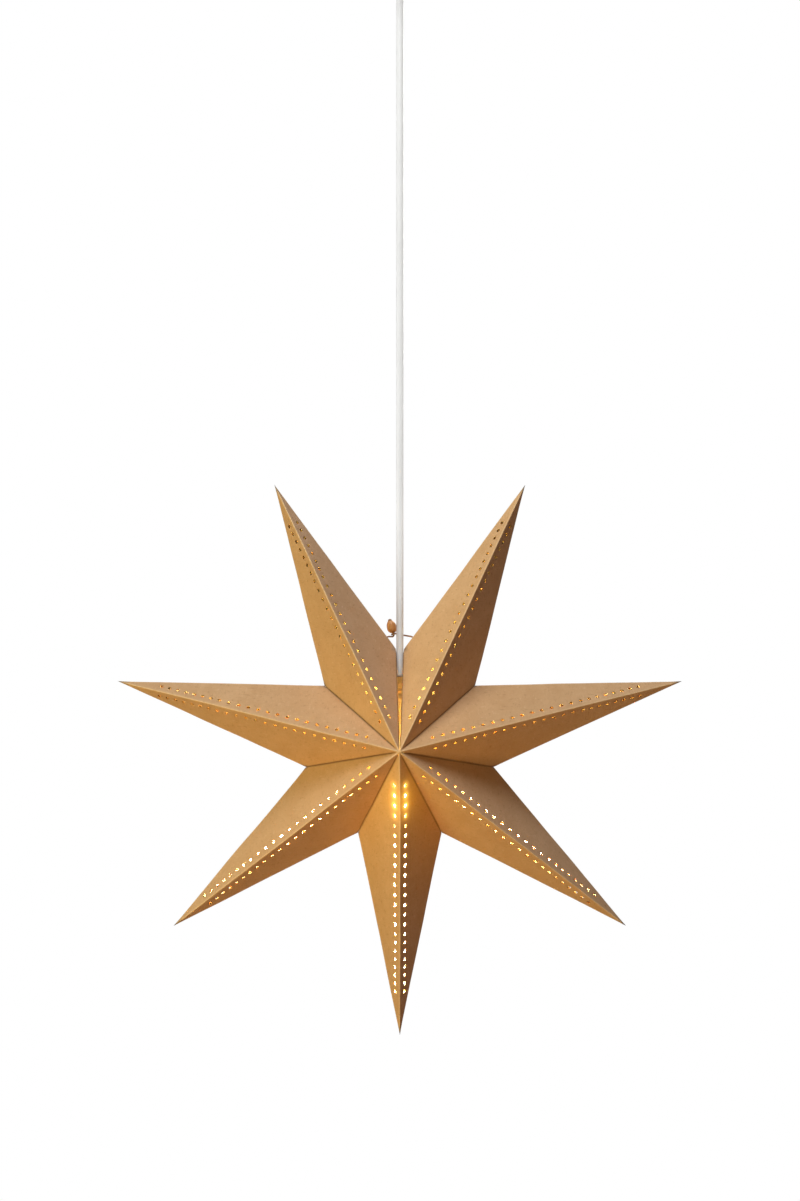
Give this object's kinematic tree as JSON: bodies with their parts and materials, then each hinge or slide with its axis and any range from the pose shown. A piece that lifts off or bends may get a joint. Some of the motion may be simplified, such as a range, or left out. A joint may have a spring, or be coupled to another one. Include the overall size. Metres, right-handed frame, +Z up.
{
  "type": "star pendant lamp",
  "caption": "Hanging lamp: a folded card star with rows of light holes, tied around a cord with a lampholder and bulb inside, under a round ceiling cup.",
  "frame": {"origin": "on the ceiling plane, on the cord's axis, midway between the two ceiling screw slots", "axes": "+Z up along the cord, -Y out of the star's front peak, +X to the right in the picture"},
  "size_m": [0.4504, 0.126, 0.9362],
  "materials": {
    "zinc_steel": "zinc plated, satin",
    "white_cup": "white powder coat, satin",
    "white_plastic": "moulded white plastic, semi gloss",
    "clear_nylon": "natural nylon",
    "white_pvc": "white cord sheath, soft sheen",
    "terminal_plastic": "translucent white plastic",
    "brass": "turned brass",
    "brown_insulation": "brown wire insulation",
    "blue_insulation": "blue wire insulation",
    "white_ceramic": "unglazed white ceramic",
    "nickel": "nickel plated",
    "dark_glass": "dark fused glass",
    "solder": "tin solder",
    "clear_glass": "clear",
    "light_stick": "warm phosphor, lit",
    "lead_wire": "drawn wire",
    "circuit_board": "white circuit board",
    "kraft_card": "natural brown kraft card, matte",
    "brown_string": "waxed brown string",
    "bead_wood": "pale turned wood, bare"
  },
  "bodies": {
    "ceiling": {"ceiling_bracket": "zinc_steel", "canopy_cup": "white_cup", "canopy_side_screws": "zinc_steel", "cord_grip_body": "white_plastic", "cord_grip_nut": "white_plastic", "cord_grip_screw": "clear_nylon", "ceiling_cord_tail": "white_pvc", "terminal_block": "terminal_plastic", "terminal_poles": "brass", "terminal_screws": "zinc_steel", "ceiling_wire_brown": "brown_insulation", "ceiling_wire_blue": "blue_insulation"},
    "pendant": {"flex_cord": "white_pvc", "holder_cord_clamp": "white_plastic", "holder_clamp_screw": "clear_nylon", "holder_cap": "white_plastic", "holder_barrel": "white_plastic", "holder_core": "white_ceramic", "holder_screw_shell": "brass", "holder_centre_contact": "brass", "holder_terminals": "brass", "holder_terminal_screws": "zinc_steel", "holder_wire_brown": "brown_insulation", "holder_wire_blue": "blue_insulation"},
    "bulb_thread": {"bulb_contact": "solder"},
    "bulb": {"bulb_insulator": "dark_glass", "bulb_screw_cap": "nickel", "bulb_glass": "clear_glass", "bulb_stem": "clear_glass", "bulb_filaments": "light_stick", "bulb_leads": "lead_wire", "bulb_driver": "circuit_board"},
    "star": {"star_arm_1": "kraft_card", "star_arm_2": "kraft_card", "star_arm_3": "kraft_card", "star_arm_4": "kraft_card", "star_arm_5": "kraft_card", "star_arm_6": "kraft_card", "star_arm_7": "kraft_card", "tie_string": "brown_string", "tie_bead": "bead_wood", "tie_loop": "brown_string"}
  },
  "joints": [
    {"name": "pendant_swing", "type": "hinge", "parent": "ceiling", "child": "pendant", "pos_m": [0, 0, -0.075], "axis": [0, 1, 0], "range_deg": [-12, 12]},
    {"name": "star_turn", "type": "hinge", "parent": "pendant", "child": "star", "pos_m": [0, 0, -0.70523], "axis": [0, 0, 1], "continuous": true},
    {"name": "bulb_travel", "type": "slide", "parent": "pendant", "child": "bulb_thread", "axis": [0, 0, 1], "range_m": [-0.0141, 0]},
    {"name": "bulb_turn", "type": "hinge", "parent": "bulb_thread", "child": "bulb", "pos_m": [0, 0, -0.7], "axis": [0, 0, 1], "range_deg": [-1800, 0]}
  ],
  "couplings": [
    {"joint": "bulb_turn", "follows": "bulb_travel", "rad_per_m": 2228.1}
  ]
}
